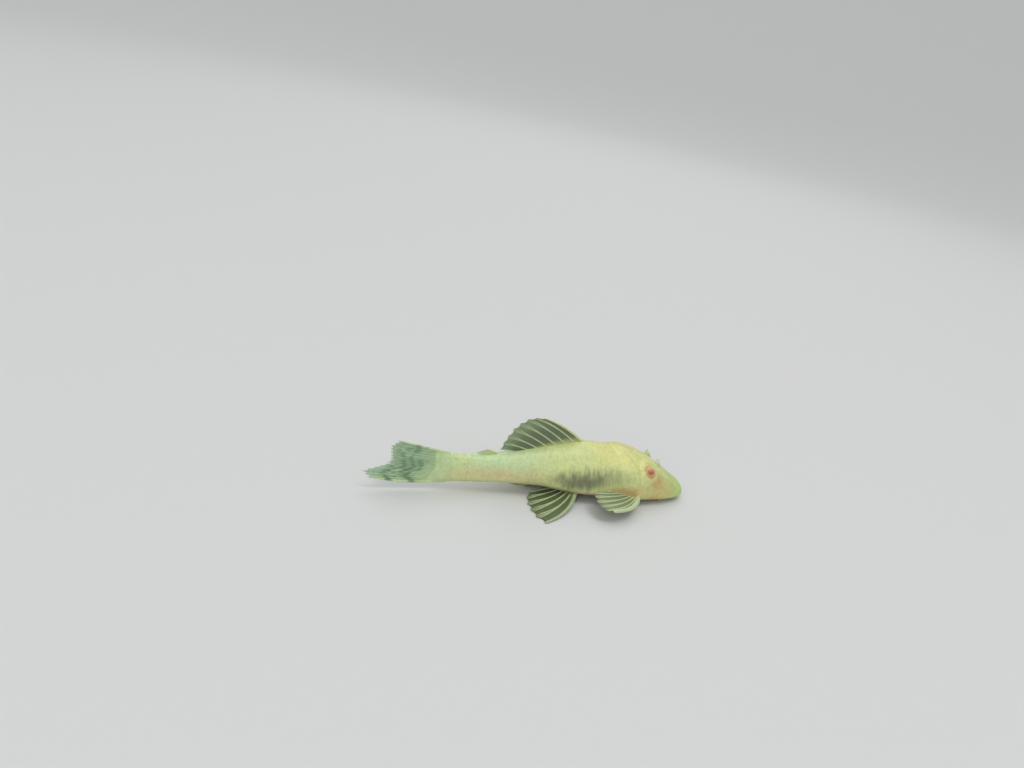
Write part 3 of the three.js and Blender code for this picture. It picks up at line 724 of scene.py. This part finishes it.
def mouth():
    pile = Pile()
    nr, na = 70, 200
    r = np.linspace(0.0, 1, nr)[:, None] ** 0.85
    th = (np.arange(na) / na * 2 * np.pi)[None, :]
    # the rim is drawn on an oval, fringed with small lobes
    fringe = 1 + 0.012 * np.sin(th * 46) * smooth(r, 0.9, 1.0) + 0.03 * np.sin(th * 2 + 0.6)
    fore, across = np.cos(th), np.sin(th)
    s = MOUTH - fore * r * 5.5 * fringe
    y = across * r * 6.8 * fringe * (1 - 0.1 * fore * r)
    # the opening lies a little ahead of the middle
    od = np.sqrt(((s - MOUTH + 1.2) / 1.75) ** 2 + (y / 3.3) ** 2)
    z = 0.16 + 0.82 * smooth(r, 0.86, 1.0) + 1.05 * smooth(od, 1.0, 0.55) - 0.10 * bell(od - 1.12, 0.18)
    # warts on a staggered lattice
    px, py = s * U, y * U
    step = 0.50
    row = np.round(py / (step * 0.866))
    qx = px - step * 0.5 * (row % 2)
    wx = qx - np.round(qx / step) * step
    wy = py - row * step * 0.866
    ww = np.clip(1 - (wx * wx + wy * wy) / (0.20 ** 2), 0, 1) ** 0.7
    rough = smooth(od, 1.15, 1.4) * smooth(r, 0.97, 0.85) * (0.6 + 0.4 * hash01(np.round(qx / step).astype(np.int64), row.astype(np.int64), 0 * row.astype(np.int64), 3))
    z = z - 0.16 * ww * rough
    V = P(s, y, np.maximum(z, 0.012))
    c = np.broadcast_to(lin((224, 190, 158)), V.shape).copy()
    k = (ww * rough)[..., None]
    c = c * (1 - 0.6 * k) + lin((240, 214, 180)) * 0.6 * k
    k = smooth(od, 1.05, 0.6)[..., None]
    c = c * (1 - k) + lin((176, 96, 84)) * k
    k = (0.6 * smooth(r, 0.9, 1.0) + 0 * th)[..., None]
    c = c * (1 - k) + lin((206, 200, 140)) * k
    # the upper face closes the disc inside the head
    top = P(s, y, 1.25 + 0.35 * (1 - r ** 2) + 0 * th)
    top[-1] = V[-1] + [0, 0, 0.12]
    n = nr * na
    rim = (nr - 1) * na + np.arange(na)
    q = np.concatenate([grid_quads(nr, na, wrap=True), grid_quads(nr, na, wrap=True, flip=True) + n,
                        np.stack([rim, rim + n, np.roll(rim, -1) + n, np.roll(rim, -1)], -1)])
    pile.add(np.concatenate([V.reshape(-1, 3), top.reshape(-1, 3)]), quads=q, tone=np.concatenate([c.reshape(-1, 3)] * 2))
    for side in (1, -1):
        t = np.linspace(0, 1, 26)[:, None]
        a, b, e = P(MOUTH + 0.4, side * 6.1, 0.7), P(MOUTH + 3.2, side * 8.6, 0.62), P(MOUTH + 5.2, side * 9.9, 0.6)
        pts = (1 - t) ** 2 * a + 2 * t * (1 - t) * b + t * t * e
        V, q, caps = tube(pts, 0.36 * (1 - 0.45 * t[:, 0]) * np.sqrt(np.clip((1.02 - t[:, 0]) * 9, 0, 1)), 12, (0, 0, 1))
        V[:, 2] = np.maximum(V[:, 2], 0.012)
        pile.add(V, quads=q, tone=lin((222, 196, 156)), polys=caps)
    pile.make("lips", material=LIP, slot="lip", nodes=("mouth",))
    # four combs of fine forked teeth, upper and lower, left and right
    pile = Pile()
    for upper in (True, False):
        for side in (1, -1):
            for k in range(26):
                f = k / 25
                ys = side * (0.35 + 2.1 * f)
                s0 = MOUTH - 1.2 + ((-0.95 + 0.22 * f * f) if upper else (0.95 - 0.22 * f * f))
                d = 0.55 if upper else -0.55
                t = np.linspace(0, 1, 6)[:, None]
                pts = P(s0, ys, 1.15) * (1 - t) + P(s0 + d * 0.6, ys * 1.01, 0.34) * t + np.array([-0.05 * d, 0, 0]) * np.sin(np.pi * t)
                V, q, caps = tube(pts, 0.034 * (1 - 0.5 * t[:, 0]), 5, (0, 1, 0))
                pile.add(V, quads=q, tone=np.repeat(lin((226, 206, 150)) * (1 - t) + lin((196, 120, 50)) * t, 5, 0), polys=caps)
    pile.make("teeth", material=SPINE, slot="lip")


mouth()


# ------------------------------------------------------------------ fins
def rows_fn(rows):
    rows = np.asarray(rows, float)
    x = np.linspace(0, 1, len(rows))
    return lambda t: np.stack([np.interp(t, x, rows[:, k]) for k in range(rows.shape[1])], -1)


RAY_TONE, WEB_TONE = (192, 204, 156), (96, 112, 74)


def fin(node, n, root, tip, bow, normal, r0=0.17, spine_r=0.4, pleat=0.10, split=(0.42, 0.70), thick=0.11, scallop=0.045,
        blotch=0.0, spine_tone=(212, 218, 158), both=False, teeth=0, fade=0.16, spread=0.17, taper=0.36, segs=22,
        ray_tone=RAY_TONE, web_tone=WEB_TONE, skin=(206, 208, 146), pale=0.0):
    """A web between a stout leading spine and soft rays that fork twice. ray places are root + (tip - root) v + bow 4 v (1 - v)."""
    normal = np.asarray(normal, float)
    normal = normal / np.linalg.norm(normal)

    def at(i, v):
        i, v = np.broadcast_arrays(np.asarray(i, float), np.asarray(v, float))
        t = np.clip(i / (n - 1), 0, 1)
        a, b, w = root(t), tip(t), bow(t)
        p = a + (b - a) * v[..., None] + w * (4 * v * (1 - v))[..., None]
        return p + normal * (pleat * np.cos(np.pi * i) * v * 0.5)[..., None]

    def colour(i, v, base, p):
        c = np.broadcast_to(lin(base), np.shape(v) + (3,)).copy()
        k = (smooth(v, fade + 0.08, 0.03))[..., None]
        c = c * (1 - k) + lin(skin) * k
        if pale:
            # finely split ray ends cloud the web towards the fin's hind edge
            veil = (pale * smooth(v, 0.45, 1.0) * smooth(i, 0.3, 3.0))[..., None]
            c = c * (1 - veil) + lin((154, 180, 132)) * veil
        if blotch:
            # broken rows of dusky spots across the rays, and a pale hem
            bb = smooth(noise(i * 0.55 + 4, v * 11, 2.5, 31) * 0.65 + noise(i * 1.1, v * 22, 7.5, 32) * 0.35, 0.40, 0.56)
            row = 0.5 + 0.5 * np.cos(2 * np.pi * (v * 6.5 + 0.25 * np.sin(i * 0.9)))
            bb = bb * (0.45 + 0.55 * row) * smooth(v, 0.26, 0.46) * smooth(v, 0.98, 0.88)
            bb = bb[..., None]
            c = c * (1 - blotch * bb) + lin((88, 116, 84)) * blotch * bb
            hem = 0.6 * smooth(v, 0.84, 0.97)[..., None]
            c = c * (1 - hem) + lin((196, 216, 188)) * hem
            wash = (0.35 * smooth(v, 0.1, 0.4) * smooth(i, 9.5, 6))[..., None]
            c = c * (1 - wash) + lin((146, 180, 138)) * wash
        return c

    # web
    nc, nr = (n - 1) * 10 + 1, 46
    i, v = np.meshgrid(np.linspace(0, n - 1, nc), np.linspace(0, 1, nr), indexing="ij")
    f = i - np.floor(i)
    between = np.sin(np.pi * f) ** 0.8
    q = v * (1 - (scallop * between + 0.012 * noise(i * 3, v, 0.5, 41)) * v)
    mid = at(i, q)
    mid = mid + normal * (0.035 * np.sin(2 * np.pi * f) * v + 0.02 * (noise(i * 1.5, v * 6, 0.7, 42) - 0.5))[..., None]
    th = (thick * (1 - 0.55 * v) / 2)[..., None]
    A, B = (mid + normal * th).reshape(-1, 3), (mid - normal * th).reshape(-1, 3)
    border = np.concatenate([np.arange(nr), np.arange(1, nc) * nr + nr - 1, (nc - 1) * nr + np.arange(nr - 2, -1, -1), np.arange(nc - 2, 0, -1) * nr])
    b1 = np.roll(border, -1)
    m = nc * nr
    faces = np.concatenate([grid_quads(nc, nr), grid_quads(nc, nr, flip=True) + m, np.stack([border, border + m, b1 + m, b1], -1)])
    c = colour(i, v, web_tone, mid)
    streak = (0.88 + 0.2 * noise(i * 9, v * 2.5, 0.1, 43))[..., None]
    c = c * streak
    near = (bell(np.minimum(f, 1 - f), 0.09) * 0.5)[..., None]
    c = c * (1 - near) + lin(ray_tone) * near
    V = np.concatenate([A, B])
    V[:, 2] = np.maximum(V[:, 2], 0.012)
    add_mesh(node + "_web", V, quads=faces, material=WEB, tone=np.concatenate([c.reshape(-1, 3)] * 2), slot="fin", nodes=(node,))

    # rays
    pile = Pile()

    def strand(i_of, v0, v1, ra, rb, sides=6, base=ray_tone, m=48, joints=True, sq=1.0):
        v = np.linspace(v0, v1, m)
        p = at(i_of(v), v)
        r = ra + (rb - ra) * np.linspace(0, 1, m)
        if joints:
            r = r * (1 + (0.05 if m == 90 else 0.13) * np.cos(2 * np.pi * v * segs) * smooth(v, 0.2, 0.35))
        if m == 90:
            r = r * np.sqrt(np.clip((1.004 - v) * 22, 0, 1))
        V, q, caps = tube(p, r, sides, normal, sq)
        V[:, 2] = np.maximum(V[:, 2], 0.010)
        c = colour(i_of(v), v, base, p)
        c = c * (0.93 + 0.12 * noise(v * 40, i_of(v), 0.2, 44))[:, None]
        pile.add(V, quads=q, tone=np.repeat(c, sides, 0), polys=caps)
        return p

    last = n - 1
    for k in range(n):
        stout = k == 0 or (both and k == last)
        if stout:
            inner = 1.0 if k == 0 else -1.0
            p = strand(lambda v: np.full(v.shape, float(k)), 0.0, 1.0, spine_r, spine_r * taper, 14, spine_tone, 90, True, 0.92)
            if teeth and k == 0:
                # short spines along the fin's leading edge, longest near its tip
                g = np.gradient(p, axis=0)
                g /= np.linalg.norm(g, axis=1, keepdims=True)
                outw = np.cross(g, normal)
                if np.dot(outw[40], p[40] - at(np.array(1.0), np.array(0.45))) < 0:
                    outw = -outw
                for j in range(teeth):
                    fpos = RNG.uniform(0.12, 0.99)
                    m0 = int(fpos * 88)
                    ang = RNG.uniform(-1.25, 1.25)
                    d = outw[m0] * math.cos(ang) + normal * math.sin(ang)
                    rad = spine_r * (1 - (1 - taper) * fpos)
                    L = (0.10 + 0.26 * fpos ** 2) * RNG.uniform(0.7, 1.15)
                    t = np.linspace(0, 1, 4)[:, None]
                    pts = p[m0] + d * (rad * 0.85 + L * 0.6 * t) + g[m0] * L * 0.8 * t
                    V, q, caps = tube(pts, 0.035 * (1 - t[:, 0]) + 0.004, 4, normal)
                    V[:, 2] = np.maximum(V[:, 2], 0.010)
                    pile.add(V, quads=q, tone=lin((240, 230, 180)), polys=caps)
            continue
        rk = r0 * (1.0 - 0.18 * k / last)
        jit = 0.02 * math.sin(k * 2.1)
        s1, s2 = split[0] + jit, split[1] + jit
        strand(lambda v: np.full(v.shape, float(k)), 0.0, s1 + 0.04, rk, rk * 0.78, m=26)
        for e in (-1, 1):
            if (k == last and e > 0):
                e1 = 0.0
            else:
                e1 = e * spread
            first = lambda v, e1=e1: k + e1 * smooth(v, s1 - 0.05, 1.05) * 1.2
            strand(first, s1, s2 + 0.03, rk * 0.76, rk * 0.62, m=20)
            for g2 in (-1, 1):
                e2 = g2 * 0.085 if not (k == last and e > 0 and g2 > 0) else 0.0
                strand(lambda v, first=first, e2=e2: np.minimum(first(v) + e2 * smooth(v, s2 - 0.05, 1.02), last), s2, 0.985, rk * 0.54, rk * 0.22, 5, m=24)
    pile.make(node + "_rays", material=RAY, slot="fin", nodes=(node,))


def fins():
    Y = (0.0, 1.0, 0.0)
    # dorsal
    tips = rows_fn([[65.7, 28.0], [69.3, 28.2], [72.4, 27.5], [75.1, 25.9], [77.2, 23.6], [78.7, 20.9], [79.8, 18.2], [80.6, 15.6]])

    def droot(t):
        s = 47.4 + (71.7 - 47.4) * t
        return P(s, 0, back(s) - 1.2)
    fin("dorsal_fin", 8, droot, lambda t: P(tips(t)[..., 0], 0, tips(t)[..., 1]),
        lambda t: np.stack([0.3 * (1 - 7 * t / 8), 0 * t, 0.7 * (1 - 7 * t / 8)], -1), Y, r0=0.22, spine_r=0.38, teeth=60, pale=0.55)
    # adipose: a short spine that carries a small web
    aroot = rows_fn([[80.2], [83.8], [86.0]])
    atip = rows_fn([[85.6, 15.5], [87.6, 14.9], [89.4, 14.3]])
    fin("adipose_fin", 3, lambda t: P(aroot(t)[..., 0], 0, back(aroot(t)[..., 0]) - 0.8), lambda t: P(atip(t)[..., 0], 0, atip(t)[..., 1]),
        lambda t: np.stack([0 * t, 0 * t, 0.2 * (1 - t)], -1), Y, r0=0.10, spine_r=0.32, teeth=20, fade=0.4, web_tone=(200, 218, 162), ray_tone=(204, 220, 166))
    # anal
    fin("anal_fin", 5, lambda t: P(61.6 + 4.8 * t, 0, 4.0), lambda t: P(71.0 + 3.6 * t, 0, 1.6 + 0.7 * t),
        lambda t: np.stack([0 * t, 0 * t, -0.5 + 0 * t], -1), Y, r0=0.12, spine_r=0.26, pleat=0.06)
    # caudal
    ctip = rows_fn([[118.5, 17.9], [120.9, 15.9], [120.6, 13.4], [120.2, 11.2], [121.1, 9.5], [124.7, 8.3], [129.6, 6.8], [127.1, 4.3]])
    fin("caudal_fin", 16, lambda t: P(99.0, 0, 13.6 - 10.5 * t), lambda t: P(ctip(t)[..., 0], 0, ctip(t)[..., 1]),
        lambda t: np.stack([0 * t, 0 * t, -0.05 - 0.55 * t], -1), Y, r0=0.13, spine_r=0.40, both=True, blotch=0.85, pleat=0.08,
        teeth=50, fade=0.62, spread=0.2, segs=30, ray_tone=(192, 220, 176), web_tone=(166, 200, 156), skin=(190, 212, 156), spine_tone=(196, 216, 166))
    for tag, side in SIDES.items():
        ptip = rows_fn([[45.2, 25.8, 4.9], [47.9, 25.4, 5.2], [49.4, 23.4, 5.6], [49.7, 20.7, 6.1], [49.2, 17.9, 6.6], [47.9, 15.7, 7.0], [45.6, 14.3, 7.0]])
        fin("pectoral_fin_" + tag, 7,
            lambda t: P(27.9 + 3.3 * t, side * (13.2 - 0.9 * t - 0.9 * smooth(t, 0.2, 1)), 4.2 + 0.4 * t),
            lambda t: P(ptip(t)[..., 0], side * ptip(t)[..., 1], ptip(t)[..., 2]),
            lambda t: np.stack([1.4 * U * (1 - t), side * 2.4 * U * (1 - t), -0.25 * U * (1 - t)], -1),
            (0, side * 0.14, 1), r0=0.26, spine_r=0.72, taper=0.6, teeth=150, spine_tone=(190, 208, 160), pleat=0.10, web_tone=(126, 140, 100))
        vtip = rows_fn([[70.7, 25.2, 0.4], [72.3, 20.9, 0.4], [72.3, 16.2, 0.4], [71.6, 11.6, 0.4], [70.0, 7.0, 0.4], [67.0, 2.6, 0.45]])
        fin("pelvic_fin_" + tag, 6,
            lambda t: P(50.2 + 4.4 * t, side * (6.4 - 3.0 * t), 3.3 - 0.6 * t),
            lambda t: P(vtip(t)[..., 0], side * vtip(t)[..., 1], vtip(t)[..., 2]),
            lambda t: np.stack([1.5 * U * (1 - t), side * 2.1 * U * (1 - t), -0.35 * (1 - t)], -1),
            (0, 0, 1), r0=0.27, spine_r=0.56, taper=0.5, teeth=60, pleat=0.06, spine_tone=(166, 184, 142))


fins()


# ------------------------------------------------------------------ floor and light
def stage():
    n, m = 72, 40
    rr = np.concatenate([np.linspace(0.02, 1.3, 16), 1.3 + 1.5 * np.sin(np.linspace(0, np.pi / 2, m - 15)[1:])])
    zz = np.concatenate([np.zeros(16), 1.5 * (1 - np.cos(np.linspace(0, np.pi / 2, m - 15)[1:]))])
    a = np.arange(n) / n * 2 * np.pi
    V = np.stack([rr[:, None] * np.cos(a), rr[:, None] * np.sin(a), zz[:, None] + 0 * a], -1).reshape(-1, 3)
    me = bpy.data.meshes.new("floor")
    q = grid_quads(len(rr), n, wrap=True)
    me.from_pydata(V.tolist(), [], [tuple(f) for f in q.tolist()] + [tuple(range(n))])
    me.polygons.foreach_set("use_smooth", np.full(len(me.polygons), True))
    me.update()
    ob = bpy.data.objects.new("floor", me)
    bpy.context.scene.collection.objects.link(ob)
    m = bpy.data.materials.new("floor")
    m.use_nodes = True
    b = m.node_tree.nodes["Principled BSDF"]
    b.inputs["Base Color"].default_value = (0.67, 0.67, 0.655, 1)
    b.inputs["Roughness"].default_value = 0.9
    b.inputs["Specular IOR Level"].default_value = 0.2
    me.materials.append(m)
    bpy.context.scene.view_settings.view_transform = "Standard"
    w = bpy.data.worlds.new("world")
    bpy.context.scene.world = w
    w.use_nodes = True
    w.node_tree.nodes["Background"].inputs[0].default_value = (0.93, 0.96, 1.0, 1)
    w.node_tree.nodes["Background"].inputs[1].default_value = 0.58

    def area(name, where, size, power, colour=(1, 1, 1), at=(0, 0, 0.005)):
        d = bpy.data.lights.new(name, "AREA")
        d.shape = "DISK"
        d.size = size
        d.energy = power
        d.color = colour
        o = bpy.data.objects.new(name, d)
        bpy.context.scene.collection.objects.link(o)
        o.location = where
        o.rotation_euler = (Vector(at) - Vector(where)).to_track_quat("-Z", "Y").to_euler()
    area("key", (0.26, -0.42, 1.40), 0.75, 4.4, (1.0, 0.985, 0.95))
    area("fill", (-0.8, -0.9, 0.55), 0.9, 4.8, (0.95, 0.98, 1.0))
    area("rim", (0.5, 0.9, 0.9), 0.7, 1.8)
    area("top", (0.5, 1.0, 2.4), 3.0, 12.0, at=(0.5, 1.0, 0.0))


stage()
